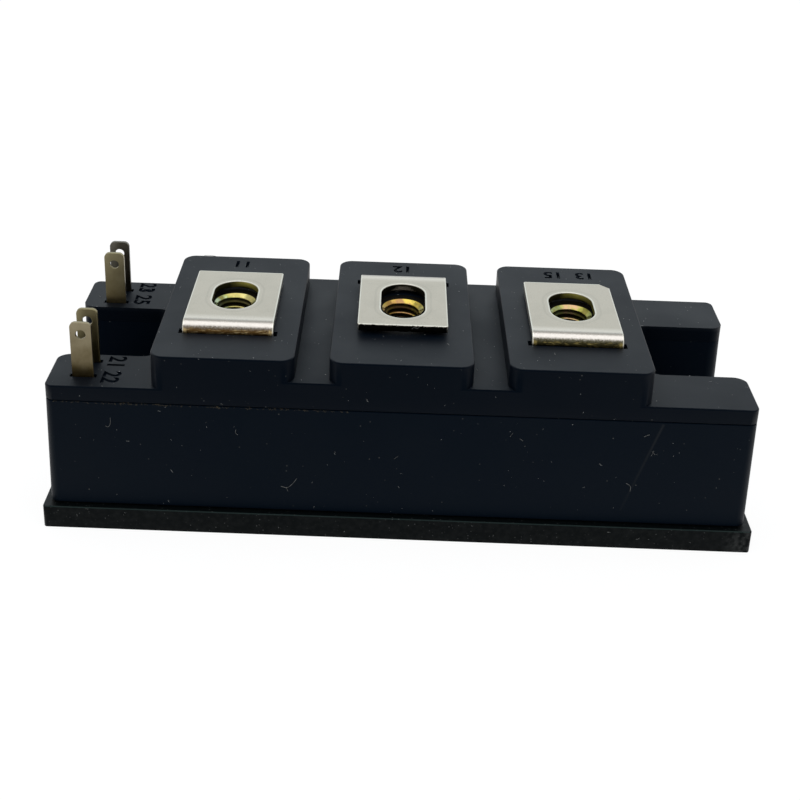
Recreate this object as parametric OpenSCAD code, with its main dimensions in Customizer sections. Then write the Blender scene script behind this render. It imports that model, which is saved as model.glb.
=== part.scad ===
// Dual darlington transistor module: copper base, moulded case, three screw terminals, four control tabs.
// The origin is under the middle of the base. X runs along the module, Z points up, the front faces -Y.

/* [Base plate] */
// Length of the base plate
base_l = 94; // [88:1:104]
// Width of the base plate
base_w = 34; // [31:0.5:40]
// Thickness of the base plate
base_t = 3.3; // [2.5:0.1:5]
// Radius of the base plate's upright corners
base_corner_r = 0.4; // [0.2:0.1:1.5]
// Distance from an end of the base to the centre of its mounting hole
mount_edge = 7; // [6:0.25:7.5]
// Diameter of the mounting holes
mount_hole_d = 6.5; // [5.5:0.1:7]
// Width of the base that shows round the case
base_lip = 0.8; // [0.5:0.05:1.4]

/* [Case frame] */
// Height of the case frame, from its foot to the seam
frame_h = 15.25; // [14:0.25:20]
// How far each outer wall and notch wall leans in between the foot and the seam
case_draft = 0.25; // [0.05:0.05:0.3]
// Radius of the case's upright outer corners
case_corner_r = 1.3; // [1:0.1:2.5]
// Thickness of the outer walls
wall = 2.1; // [1.6:0.1:2.4]
// Thickness of the wall between an ear and the screw notch
ear_wall = 1.2; // [1:0.05:1.3]
// Width of the screw notch in each end, at the seam
notch_w = 14.4; // [13:0.1:16]
// Fillet radius in the inner corners of the screw notches, at the seam
notch_r = 2.8; // [1:0.1:3.2]
// Radius of the ears' upright corners at the mouths of the screw notches, at the seam
ear_r = 1.8; // [0.5:0.1:2.5]

/* [Lid] */
// Thickness of the lid's ears, from the seam to their tops
ear_h = 2.2; // [1.6:0.1:3]
// Height of the groove floors above the ear tops
groove_rise = 1.6; // [1:0.05:2.5]
// Height of the pedestals above the groove floors
pedestal_h = 3.15; // [2:0.05:5]
// Width of each terminal pedestal
pedestal_w = 18.55; // [17.6:0.05:20]
// Distance between the centres of neighbouring pedestals
terminal_pitch = 23; // [22:0.1:24]
// Radius of the pedestals' upright corners
pedestal_r = 1.8; // [1:0.1:2.5]
// Radius along the lid's top edges
edge_r = 0.2; // [0.1:0.05:0.45]
// Bevel of the lid's lower rim, which draws the seam
seam_bevel = 0.2; // [0.1:0.05:0.4]
// Thickness of the lid's walls
lid_wall = 2.2; // [1.6:0.1:2.5]
// Depth of the ribs under the lid that seat it between the case's long walls
rib_h = 1.5; // [1:0.1:1.7]
// Thickness of those ribs
rib_t = 1.2; // [0.8:0.1:1.5]
// Play between the ribs and the case's walls
rib_play = 0.15; // [0.1:0.05:0.3]
// Width of the square boss round each nut pocket
boss_w = 13; // [11.5:0.1:14]
// Reach of the bosses below the seam, down to the resin
boss_drop = 5.3; // [4:0.1:6]

/* [Main terminals] */
// Width of a main terminal
strap_w = 12; // [10:0.1:12.6]
// Thickness of a main terminal
strap_t = 1; // [0.8:0.1:1.2]
// Gap under the folded plate, above the pedestal
strap_gap = 0.45; // [0.2:0.05:1]
// Inside radius of the folds
fold_r = 0.5; // [0.3:0.05:0.8]
// Distance from the centre line to the outer face of a terminal's leg
leg_y = 9.05; // [8.6:0.05:9.6]
// Distance from the centre line to the free end of the folded plate
plate_end_y = 7.5; // [6.5:0.1:8.5]
// Width of the screw slots in the plates
slot_w = 6; // [5.5:0.1:6.6]
// Length of the screw slots in the two outer plates
side_slot_l = 8.8; // [7:0.1:10]
// Length of the screw slot in the middle plate
middle_slot_l = 10.7; // [7:0.1:11]
// Corner radius at the plates' free ends
plate_corner_r = 0.3; // [0.2:0.1:1]
// Size of the corner clipped off the right plate
plate_clip = 1.3; // [0.8:0.1:2]
// Width of a terminal's soldered foot
foot_w = 4; // [3:0.1:4.2]
// Length of a terminal's soldered foot
foot_l = 4.5; // [3:0.1:5]
// Sideways shift of the two outer feet towards the middle of the module
side_foot_shift = 1.5; // [1:0.1:2]
// Sideways shift of the middle foot, onto the right circuit
middle_foot_shift = 4; // [3.7:0.05:4]
// Play between a terminal's faces and its slot in the lid
strap_play = 0.15; // [0.1:0.05:0.3]
// Play between a terminal's edges and the ends of its slot
strap_end_play = 0.5; // [0.2:0.05:0.7]

/* [Nuts] */
// Width of the nuts across their flats
nut_af = 8; // [7:0.1:8.5]
// Height of the nuts
nut_h = 4; // [3:0.1:5]
// Diameter of the nuts' bore, at the crests of the thread
nut_bore_d = 4.2; // [3.2:0.1:4.4]
// Diameter of the countersunk mouths of the bore
nut_mouth_d = 5.8; // [5:0.1:6.2]
// Depth of the countersunk mouths
nut_mouth_h = 0.6; // [0.3:0.1:0.9]
// Gap between a nut's top and the plate above it
nut_gap = 0.1; // [0.05:0.05:0.2]
// Play between a nut and the walls of its pocket
nut_play = 0.12; // [0.05:0.01:0.25]
// Diameter of the well for the screw's end, under a nut
well_d = 5.6; // [5.2:0.1:6.2]
// Depth of that well
well_h = 5; // [3:0.1:6]

/* [Control tabs] */
// Distance from the lid's left end to the middle of the tabs
tab_edge = 4.55; // [4.2:0.05:6]
// Gap between the outer tabs and the case's long walls
tab_side_gap = 0.6; // [0.4:0.05:0.8]
// Gap between the inner tabs and the walls of the screw notch
tab_notch_gap = 0.35; // [0.2:0.05:0.6]
// Width of a tab
tab_w = 2.8; // [2.4:0.1:3.2]
// Thickness of a tab
tab_t = 0.5; // [0.4:0.05:0.6]
// Height of a tab above the ears
tab_h = 7.8; // [6:0.1:9]
// Radius of the corners at a tab's tip
tab_corner_r = 0.75; // [0.3:0.05:1.1]
// Diameter of the hole in a tab
tab_hole_d = 1.3; // [1:0.1:1.5]
// Distance from a tab's tip to the centre of its hole
tab_hole_drop = 1.75; // [1.5:0.05:2.2]
// Play between a tab's faces and its slot in the lid
tab_play = 0.15; // [0.1:0.05:0.25]
// Play between a tab's edges and the ends of its slot
tab_end_play = 0.35; // [0.1:0.05:0.5]
// Height of the bar that carries a tab into the case
tab_bar_h = 2.5; // [2:0.1:3]
// Width of a tab's soldered foot
tab_foot_w = 2; // [1.5:0.1:2.2]
// Length of a tab's soldered foot
tab_foot_l = 2.8; // [2.4:0.1:3]

/* [Inside] */
// Thickness of the adhesive under the case
bond_t = 0.25; // [0.15:0.05:0.4]
// Distance of the adhesive from the case's outer face
bond_inset = 0.5; // [0.3:0.05:0.8]
// Gap between a substrate and the case's end wall
substrate_end_gap = 1.4; // [1:0.05:2]
// Gap between a substrate and the case's long walls
substrate_side_gap = 0.95; // [0.6:0.05:1.5]
// Thickness of a substrate
substrate_t = 0.65; // [0.4:0.05:1]
// Gap between the two substrates
substrate_gap = 1.5; // [1.2:0.1:2]
// Thickness of the solder under a substrate
solder_t = 0.15; // [0.1:0.05:0.3]
// Thickness of the circuit's copper
copper_t = 0.3; // [0.2:0.05:0.5]
// Bare edge of a substrate round its copper
copper_margin = 0.8; // [0.6:0.05:1]
// Gap between neighbouring copper fields
copper_gap = 0.8; // [0.6:0.05:0.9]
// Width of the column of copper fields for the tabs
tab_field_w = 2.6; // [2.4:0.05:2.8]
// Copper in front of a tab's foot
tab_field_rim = 0.2; // [0.1:0.05:0.3]
// Side of a transistor chip
transistor_s = 9; // [8:0.1:9.5]
// Side of a diode chip
diode_s = 4.5; // [4:0.1:5]
// Thickness of the chips
chip_t = 0.4; // [0.3:0.05:0.5]
// Thickness of a bond wire
wire_d = 0.4; // [0.3:0.05:0.5]
// Number of bond wires on a transistor chip
transistor_wires = 6; // [4:1:6]
// Number of bond wires on a diode chip
diode_wires = 3; // [2:1:3]
// Distance between neighbouring bond wires
wire_pitch = 1.3; // [1:0.05:1.4]
// Distance a bond wire spans
wire_span = 5.5; // [5:0.1:6]
// Height that a bond wire arches
wire_rise = 1.6; // [1.2:0.1:2]
// Width of the link strap
link_w = 2.6; // [2:0.1:2.8]
// Thickness of the link strap
link_t = 0.8; // [0.6:0.1:1]
// Height of the link strap's underside above the circuit
link_rise = 3; // [2.8:0.1:3.2]
// Reach of the link strap's arms over the copper
link_reach = 3.9; // [3:0.1:5]
// Depth of the gel on the base
gel_h = 5.7; // [5.4:0.1:6.2]

/* [Hidden] */

$fn = 48;
// Overshoot of a cutting shape past the face that it cuts
over = wall / 2;
// Overlap of the shapes that make up one outline
lap = wall / 200;

// Plan sizes of the case at its foot, and of the lid
case_l = base_l - 2 * base_lip;
case_w = base_w - 2 * base_lip;
lid_l = case_l - 2 * case_draft;
lid_w = case_w - 2 * case_draft;
lid_corner_r = case_corner_r - case_draft;
mount_pitch = base_l - 2 * mount_edge;
// Length of the row of pedestals, whose ends are the inner walls of the screw notches
row_l = 2 * terminal_pitch + pedestal_w;
notch_x = row_l / 2;
// Half sizes of the space inside the case, and the inner edge of its pockets in the ears
room_x = notch_x - wall;
room_y = lid_w / 2 - wall;
pocket_y = notch_w / 2 + ear_wall;
// Places of the tabs
tab_x = lid_l / 2 - tab_edge;
outer_tab_y = room_y - tab_side_gap - tab_t / 2;
inner_tab_y = pocket_y + tab_notch_gap + tab_t / 2;
// Plan sizes of a substrate, two of which fill the room
substrate_l = room_x - substrate_end_gap - substrate_gap / 2;
substrate_w = 2 * (room_y - substrate_side_gap);

// Levels, from the bottom up
frame_z = base_t + bond_t;
seam_z = frame_z + frame_h;
ear_z = seam_z + ear_h;
groove_z = ear_z + groove_rise;
pedestal_z = groove_z + pedestal_h;
plate_z = pedestal_z + strap_gap;
resin_z = seam_z - boss_drop;
gel_z = base_t + gel_h;
substrate_z = base_t + solder_t;
copper_z = substrate_z + substrate_t;
circuit_z = copper_z + copper_t;
chip_z = circuit_z + chip_t;
nut_z = plate_z - nut_gap - nut_h;
tab_z = ear_z + tab_h;

// Sides of the module: left and right along X, front and rear along Y
LEFT = -1;
RIGHT = 1;
FRONT = -1;
REAR = 1;
substrate_x = (substrate_gap + substrate_l) / 2;

// Plan of the copper on the left substrate, from the substrate's own centre
copper_x = substrate_l / 2 - copper_margin;
copper_y = substrate_w / 2 - copper_margin;
field_x = -copper_x + tab_field_w + copper_gap;
// Places of the chips on the collector field, between the terminal's foot and the field's inner end
foot_edge_x = substrate_x - terminal_pitch + side_foot_shift + foot_w / 2;
chip_gap = (copper_x - foot_edge_x - transistor_s - diode_s) / 3;
transistor_x = foot_edge_x + chip_gap + transistor_s / 2;
diode_x = copper_x - chip_gap - diode_s / 2;
chip_y = -(copper_y + copper_gap / 2) / 2;
// Bond wires stand on the chips' rear halves and reach the emitter field
wire_y = chip_y + diode_s / 4;
// Lower edge of the tabs' bars
tab_bar_z = (gel_z + resin_z - tab_bar_h) / 2;

// Rectangle with round corners, centred
module rounded_rect(l, w, r) {
    square([l - 2 * r, w], center = true);
    square([l, w - 2 * r], center = true);
    for (sx = [-1, 1], sy = [-1, 1])
        translate([sx * (l / 2 - r), sy * (w / 2 - r)]) circle(r);
}

// Block with round upright corners, whose walls lean in by lean between the bottom and the top
module leaning_block(l, w, r, h, lean) {
    rotate([90, 0, 0])
        linear_extrude(w - 2 * r, center = true)
            polygon([[-l / 2, 0], [l / 2, 0], [l / 2 - lean, h], [lean - l / 2, h]]);
    rotate([90, 0, 90])
        linear_extrude(l - 2 * r, center = true)
            polygon([[-w / 2, 0], [w / 2, 0], [w / 2 - lean, h], [lean - w / 2, h]]);
    for (sx = [-1, 1], sy = [-1, 1])
        translate([sx * (l / 2 - r), sy * (w / 2 - r), 0])
            cylinder(h, r, r - lean);
}

// Side view of a block with round shoulders, standing on the X axis
module shouldered_rect(l, h, r) {
    translate([-l / 2, 0]) square([l, h - r]);
    translate([r - l / 2, 0]) square([l - 2 * r, h]);
    for (sx = [-1, 1]) translate([sx * (l / 2 - r), h - r]) circle(r);
}

// Upright block with round corners of radius r, whose top edge is rounded to edge_r
module soft_block(l, w, r, h) {
    rotate([90, 0, 0])
        linear_extrude(w - 2 * r, center = true) shouldered_rect(l, h, edge_r);
    rotate([90, 0, 90])
        linear_extrude(l - 2 * r, center = true) shouldered_rect(w, h, edge_r);
    for (sx = [-1, 1], sy = [-1, 1])
        translate([sx * (l / 2 - r), sy * (w / 2 - r), 0])
            rotate_extrude() {
                square([r, h - edge_r]);
                square([r - edge_r, h]);
                translate([r - edge_r, h - edge_r]) circle(edge_r);
            }
}

// Square corner outside a quarter circle, for rounding a corner at the origin
module corner_waste(r) {
    difference() {
        translate([-r, -r]) square(r + over);
        translate([-r, -r]) circle(r);
    }
}

// Plan of the two screw notches at the seam; grow widens them towards the case
module notches_plan(grow = 0) {
    inner_x = notch_x - grow;
    half_w = notch_w / 2 + grow;
    r = notch_r + grow;
    for (end = [LEFT, RIGHT])
        mirror([end == LEFT ? 1 : 0, 0]) {
            translate([inner_x + r, -half_w]) square([base_l / 2, 2 * half_w]);
            translate([inner_x, r - half_w]) square([base_l / 2, 2 * (half_w - r)]);
            for (sy = [-1, 1]) translate([inner_x + r, sy * (half_w - r)]) circle(r);
        }
}

// Runs its children, drawn for the rear right ear, at the corner of each ear beside its screw notch
module at_ear_corners() {
    for (end = [LEFT, RIGHT], side = [FRONT, REAR])
        mirror([end == LEFT ? 1 : 0, 0, 0])
            mirror([0, side == FRONT ? 1 : 0, 0])
                translate([lid_l / 2, notch_w / 2, 0]) children();
}

// Screw notches in the case, as high as it is, whose walls lean as the outer ones do
module case_notches() {
    for (end = [LEFT, RIGHT])
        mirror([end == LEFT ? 1 : 0, 0, 0])
            translate([notch_x + case_draft + base_l / 2, 0, 0])
                leaning_block(base_l, notch_w - 2 * case_draft, notch_r - case_draft, frame_h, -case_draft);
}

// Outer form of the case, standing on its foot: leaning walls, screw notches and round ears beside them
module case_form() {
    difference() {
        leaning_block(case_l, case_w, case_corner_r, frame_h, case_draft);
        case_notches();
        at_ear_corners()
            translate([-ear_r, -over, -over]) cube([ear_r + over, ear_r + over, frame_h + 2 * over]);
    }
    at_ear_corners() translate([-ear_r, ear_r, 0]) cylinder(frame_h, ear_r + case_draft, ear_r);
}

// Plan of the space inside the case: the middle room and a pocket in each ear
module room_plan() {
    pocket_x = lid_l / 2 - wall;
    square([2 * room_x, 2 * room_y], center = true);
    for (sx = [-1, 1], sy = [-1, 1])
        translate([sx * (pocket_x + room_x - lap) / 2, sy * (pocket_y + room_y) / 2])
            square([pocket_x - room_x + lap, room_y - pocket_y], center = true);
}

// Copper base plate: one flat piece with a clearance hole for a screw in each end
module base_plate() {
    color("#2b2d2f")
        linear_extrude(base_t)
            difference() {
                rounded_rect(base_l, base_w, base_corner_r);
                for (end = [LEFT, RIGHT])
                    translate([end * mount_pitch / 2, 0]) circle(d = mount_hole_d);
            }
}

// Adhesive bead that glues the case to the base, set back from the wall so that a dark line shows
module frame_bond() {
    color("#101113")
        translate([0, 0, base_t])
            linear_extrude(bond_t)
                difference() {
                    rounded_rect(
                        case_l - 2 * bond_inset, case_w - 2 * bond_inset, case_corner_r - bond_inset
                    );
                    notches_plan(bond_inset - case_draft);
                    room_plan();
                }
}

// Moulded walls of the case, with a notch for a screw in each end
module case_frame() {
    color("#14181d")
        translate([0, 0, frame_z])
            difference() {
                case_form();
                translate([0, 0, -over]) linear_extrude(frame_h + 2 * over) room_plan();
            }
}

// Outer form of the lid: notched ears, the block between them and the pedestals
module lid_form() {
    rim_z = seam_z + seam_bevel;
    difference() {
        union() {
            translate([0, 0, seam_z])
                leaning_block(
                    lid_l - 2 * seam_bevel, lid_w - 2 * seam_bevel, lid_corner_r - seam_bevel,
                    seam_bevel, -seam_bevel
                );
            translate([0, 0, rim_z]) soft_block(lid_l, lid_w, lid_corner_r, ear_z - rim_z);
        }
        translate([0, 0, seam_z - over])
            linear_extrude(ear_h + 2 * over) {
                notches_plan();
                at_ear_corners() mirror([0, 1]) corner_waste(ear_r);
            }
    }
    translate([0, 0, rim_z]) soft_block(row_l, lid_w, pedestal_r, groove_z - rim_z);
    for (i = [-1:1])
        translate([i * terminal_pitch, 0, rim_z])
            soft_block(pedestal_w, lid_w, pedestal_r, pedestal_z - rim_z);
}

// Ribs inside the lid's long walls, which reach down into the case and seat the lid there
module lid_ribs() {
    rib_l = 2 * (room_x - rib_play);
    rib_y = room_y - rib_play - rib_t;
    root_t = lid_w / 2 - lid_wall - rib_y;
    for (side = [FRONT, REAR])
        mirror([0, side == FRONT ? 1 : 0, 0])
            translate([-rib_l / 2, rib_y, seam_z]) {
                translate([0, 0, -rib_h]) cube([rib_l, rib_t, rib_h + lap]);
                cube([rib_l, root_t + lap, rib_h]);
            }
}

// Space under the lid, with the bosses round the nut pockets left standing
module lid_hollow() {
    hollow_w = lid_w - 2 * lid_wall;
    difference() {
        translate([0, 0, seam_z - over]) {
            linear_extrude(groove_z - lid_wall - seam_z + over)
                square([row_l - 2 * lid_wall, hollow_w], center = true);
            for (i = [-1:1])
                translate([i * terminal_pitch, 0])
                    linear_extrude(pedestal_z - lid_wall - seam_z + over)
                        square([pedestal_w - 2 * lid_wall, hollow_w], center = true);
        }
        lid_bosses(pedestal_z);
    }
}

// Square bosses round the nut pockets, from the resin up to the level top_z
module lid_bosses(top_z) {
    for (i = [-1:1])
        translate([i * terminal_pitch, 0, resin_z])
            linear_extrude(top_z - resin_z) square(boss_w, center = true);
}

// Hexagon with flats towards the front and the rear
module hexagon(af) {
    circle(d = af / cos(30), $fn = 6);
}

// Pocket for a nut, and the well for the screw's end under it
module nut_pocket() {
    translate([0, 0, nut_z]) {
        linear_extrude(nut_h + over) hexagon(nut_af + 2 * nut_play);
        translate([0, 0, -well_h]) cylinder(well_h + lap, d = well_d);
    }
}

// Slot in the lid for the leg of a main terminal
module strap_slot(side) {
    translate([0, side * (leg_y - strap_t / 2), pedestal_z - lid_wall - over])
        linear_extrude(lid_wall + 2 * over)
            square([strap_w + 2 * strap_end_play, strap_t + 2 * strap_play], center = true);
}

// Slot in an ear of the lid for a control tab
module tab_slot(y) {
    translate([-tab_x, y, seam_z - over])
        linear_extrude(ear_h + 2 * over)
            square([tab_w + 2 * tab_end_play, tab_t + 2 * tab_play], center = true);
}

// Moulded lid: nut pockets in the pedestals, slots for the terminals and the tabs
module terminal_lid() {
    color("#3b4047") {
        difference() {
            union() {
                difference() {
                    lid_form();
                    lid_hollow();
                }
                lid_bosses(seam_z + lap);
                lid_ribs();
            }
            for (i = [-1:1]) translate([i * terminal_pitch, 0, 0]) nut_pocket();
            translate([-terminal_pitch, 0, 0]) strap_slot(FRONT);
            strap_slot(REAR);
            translate([terminal_pitch, 0, 0]) strap_slot(FRONT);
            for (side = [FRONT, REAR], y = [inner_tab_y, outer_tab_y]) tab_slot(side * y);
        }
    }
}

// Quarter ring of sheet metal, from +X to +Y round the origin
module fold_quarter() {
    difference() {
        circle(fold_r + strap_t);
        circle(fold_r);
        translate([-2 * (fold_r + strap_t), -(fold_r + strap_t)])
            square([2 * (fold_r + strap_t), 2 * (fold_r + strap_t)]);
        translate([-(fold_r + strap_t), -2 * (fold_r + strap_t)])
            square([2 * (fold_r + strap_t), 2 * (fold_r + strap_t)]);
    }
}

// Side view of a terminal's plate, upper fold and leg, seen with the leg on the right
module strap_upper_profile() {
    fold = fold_r + strap_t;
    translate([-plate_end_y, plate_z]) square([plate_end_y + leg_y - fold, strap_t]);
    translate([leg_y - fold, plate_z - fold_r]) fold_quarter();
    translate([leg_y - strap_t, resin_z]) square([strap_t, plate_z - fold_r - resin_z]);
}

// Side view of the leg below the resin's surface, the lower fold and the foot
module strap_lower_profile() {
    fold = fold_r + strap_t;
    translate([leg_y - strap_t, circuit_z + fold]) square([strap_t, resin_z - circuit_z - fold]);
    translate([leg_y - fold, circuit_z + fold]) mirror([0, 1]) fold_quarter();
    translate([leg_y - foot_l, circuit_z]) square([foot_l - fold, strap_t]);
}

// Main terminal: sheet metal folded over the nut, with a slot for the screw and a soldered foot
module strap(side, slot_l, foot_shift, clip = 0) {
    plate_h = strap_t + 2 * over;
    mirror([0, side == FRONT ? 1 : 0, 0])
        difference() {
            union() {
                rotate([90, 0, 90])
                    linear_extrude(strap_w, center = true) strap_upper_profile();
                translate([foot_shift, 0, 0])
                    rotate([90, 0, 90])
                        linear_extrude(foot_w, center = true) strap_lower_profile();
            }
            translate([0, 0, plate_z - over])
                linear_extrude(plate_h) {
                    square([slot_w, slot_l - slot_w], center = true);
                    for (sy = [-1, 1]) translate([0, sy * (slot_l - slot_w) / 2]) circle(d = slot_w);
                    for (sx = [-1, 1])
                        translate([sx * strap_w / 2, -plate_end_y])
                            mirror([sx < 0 ? 1 : 0, 0]) mirror([0, 1]) corner_waste(plate_corner_r);
                    if (clip > 0)
                        translate([strap_w / 2, -plate_end_y])
                            polygon([[-clip - over, -over], [over, clip + over], [over, -over]]);
                }
        }
}

module strap_left() {
    color("#b9b8ab") translate([-terminal_pitch, 0, 0]) strap(FRONT, side_slot_l, side_foot_shift);
}

module strap_middle() {
    color("#b9b8ab") strap(REAR, middle_slot_l, middle_foot_shift);
}

module strap_right() {
    color("#b9b8ab")
        translate([terminal_pitch, 0, 0]) strap(FRONT, side_slot_l, -side_foot_shift, plate_clip);
}

// Hexagon nut with turned corners and a countersunk bore
module nut() {
    corner_d = nut_af / cos(30);
    corner_h = (corner_d - nut_af) / 2 * tan(30);
    translate([0, 0, nut_z])
        difference() {
            intersection() {
                linear_extrude(nut_h) hexagon(nut_af);
                union() {
                    cylinder(corner_h, d1 = nut_af, d2 = corner_d);
                    translate([0, 0, corner_h]) cylinder(nut_h - 2 * corner_h, d = corner_d);
                    translate([0, 0, nut_h - corner_h]) cylinder(corner_h, d1 = corner_d, d2 = nut_af);
                }
            }
            translate([0, 0, -over]) cylinder(nut_h + 2 * over, d = nut_bore_d);
            cylinder(nut_mouth_h, d1 = nut_mouth_d, d2 = nut_bore_d);
            translate([0, 0, nut_h - nut_mouth_h]) cylinder(nut_mouth_h, d1 = nut_bore_d, d2 = nut_mouth_d);
        }
}

module nut_left() {
    color("#c9b95a") translate([-terminal_pitch, 0, 0]) nut();
}

module nut_middle() {
    color("#c9b95a") nut();
}

module nut_right() {
    color("#c9b95a") translate([terminal_pitch, 0, 0]) nut();
}

// Control tab: a blade stamped with the bar and the leg that carry it to the circuit, and a folded foot
module tab(side, y) {
    leg_x = -substrate_x - copper_x + (tab_field_w - tab_foot_w) / 2;
    blade_x = -tab_x - tab_w / 2;
    bar_l = leg_x + tab_foot_w - blade_x;
    mirror([0, side == FRONT ? 1 : 0, 0]) {
        translate([0, y + tab_t / 2, 0])
            rotate([90, 0, 0])
                linear_extrude(tab_t)
                    difference() {
                        union() {
                            translate([-tab_x, tab_bar_z])
                                shouldered_rect(tab_w, tab_z - tab_bar_z, tab_corner_r);
                            translate([blade_x, tab_bar_z]) square([bar_l, tab_bar_h]);
                            translate([leg_x, circuit_z]) square([tab_foot_w, tab_bar_z - circuit_z + lap]);
                        }
                        translate([-tab_x, tab_z - tab_hole_drop]) circle(d = tab_hole_d);
                    }
        translate([leg_x, y + tab_t / 2 - tab_foot_l, circuit_z])
            cube([tab_foot_w, tab_foot_l - tab_t + lap, tab_t]);
    }
}

module tab_front_outer() {
    color("#8a8168") tab(FRONT, outer_tab_y);
}

module tab_front_inner() {
    color("#8a8168") tab(FRONT, inner_tab_y);
}

module tab_rear_inner() {
    color("#8a8168") tab(REAR, inner_tab_y);
}

module tab_rear_outer() {
    color("#8a8168") tab(REAR, outer_tab_y);
}

// Puts a piece that is drawn for the left substrate on the left or the right one, which is its mirror image
module on_substrate(end) {
    mirror([end == RIGHT ? 1 : 0, 0, 0]) translate([-substrate_x, 0, 0]) children();
}

module solder() {
    color("#8f9296")
        translate([0, 0, base_t])
            linear_extrude(solder_t) square([substrate_l, substrate_w], center = true);
}

module substrate() {
    color("#e9e6dd")
        translate([0, 0, substrate_z])
            linear_extrude(substrate_t) square([substrate_l, substrate_w], center = true);
}

// Etched copper: a collector field, an emitter field and a small field under each tab's foot
module copper() {
    outer_y = outer_tab_y + tab_t / 2 - tab_foot_l - tab_field_rim;
    inner_y = inner_tab_y + tab_t / 2 - tab_foot_l - tab_field_rim;
    color("#b87a4b")
        translate([0, 0, copper_z])
            linear_extrude(copper_t)
                for (side = [FRONT, REAR])
                    mirror([0, side == FRONT ? 1 : 0]) {
                        translate([field_x, copper_gap / 2])
                            square([copper_x - field_x, copper_y - copper_gap / 2]);
                        translate([-copper_x, outer_y]) square([tab_field_w, copper_y - outer_y]);
                        translate([-copper_x, inner_y]) square([tab_field_w, outer_y - copper_gap - inner_y]);
                    }
}

module chip(x, s) {
    translate([x, chip_y, circuit_z + chip_t / 2]) cube([s, s, chip_t], center = true);
}

module transistor() {
    color("#50565e") chip(transistor_x, transistor_s);
}

module diode() {
    color("#50565e") chip(diode_x, diode_s);
}

// Arched bond wire from a chip's top to the emitter field
module bond_wire(x) {
    arch_r = (wire_span * wire_span / 4 + wire_rise * wire_rise) / (2 * wire_rise);
    arch_y = wire_y + wire_span / 2;
    translate([x, arch_y, 0])
        rotate([90, 0, 90])
            linear_extrude(wire_d, center = true)
                intersection() {
                    translate([0, chip_z + wire_rise - arch_r])
                        difference() {
                            circle(arch_r + wire_d / 2);
                            circle(arch_r - wire_d / 2);
                        }
                    union() {
                        translate([-wire_span, chip_z]) square([2 * wire_span, 2 * wire_rise]);
                        translate([0, circuit_z]) square([wire_span, 2 * wire_rise]);
                    }
                }
}

// Row of bond wires side by side, centred on a chip
module wire_row(x, count) {
    for (i = [0:count - 1]) bond_wire(x + (i - (count - 1) / 2) * wire_pitch);
}

module wires() {
    color("#d4d6d8") {
        wire_row(transistor_x, transistor_wires);
        wire_row(diode_x, diode_wires);
    }
}

module solder_left() { on_substrate(LEFT) solder(); }
module solder_right() { on_substrate(RIGHT) solder(); }
module substrate_left() { on_substrate(LEFT) substrate(); }
module substrate_right() { on_substrate(RIGHT) substrate(); }
module copper_left() { on_substrate(LEFT) copper(); }
module copper_right() { on_substrate(RIGHT) copper(); }
module transistor_left() { on_substrate(LEFT) transistor(); }
module transistor_right() { on_substrate(RIGHT) transistor(); }
module diode_left() { on_substrate(LEFT) diode(); }
module diode_right() { on_substrate(RIGHT) diode(); }
module wires_left() { on_substrate(LEFT) wires(); }
module wires_right() { on_substrate(RIGHT) wires(); }

// Copper link from the left emitter field at the rear to the right collector field at the front
module link_strap() {
    link_z = circuit_z + link_rise;
    arm_x = substrate_gap / 2 + copper_margin + link_reach;
    arm_y = copper_y - link_w;
    color("#b87a4b")
        for (end = [LEFT, RIGHT])
            rotate([0, 0, end == RIGHT ? 180 : 0]) {
                translate([-arm_x, arm_y, link_z]) cube([arm_x + link_w / 2, link_w, link_t]);
                translate([-link_w / 2, 0, link_z]) cube([link_w, arm_y + lap, link_t]);
                translate([-arm_x, arm_y, circuit_z]) cube([link_t, link_w, link_rise + lap]);
            }
}

// Everything that the gel and the resin are poured round
module potted_pieces() {
    for (end = [LEFT, RIGHT])
        on_substrate(end) {
            solder();
            substrate();
            copper();
            transistor();
            diode();
            wires();
        }
    link_strap();
    potted_terminals();
}

module potted_terminals() {
    strap_left();
    strap_middle();
    strap_right();
    tab_front_outer();
    tab_front_inner();
    tab_rear_inner();
    tab_rear_outer();
}

// Soft silicone gel over the circuit
module gel_fill() {
    color("#c8d0d4")
        difference() {
            translate([0, 0, base_t]) linear_extrude(gel_h) room_plan();
            potted_pieces();
        }
}

// Hard resin that seals the gel and holds the terminals; the lid's bosses stand on it
module resin_seal() {
    color("#23262a")
        difference() {
            translate([0, 0, gel_z]) linear_extrude(resin_z - gel_z) room_plan();
            potted_terminals();
        }
}

base_plate();
frame_bond();
case_frame();
terminal_lid();
strap_left();
strap_middle();
strap_right();
nut_left();
nut_middle();
nut_right();
tab_front_outer();
tab_front_inner();
tab_rear_inner();
tab_rear_outer();
solder_left();
solder_right();
substrate_left();
substrate_right();
copper_left();
copper_right();
transistor_left();
transistor_right();
diode_left();
diode_right();
wires_left();
wires_right();
link_strap();
gel_fill();
resin_seal();
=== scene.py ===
"""Looks of a dual darlington transistor module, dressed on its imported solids."""
import math

import bmesh
import bpy
from mathutils import Euler, Matrix, Vector


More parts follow.
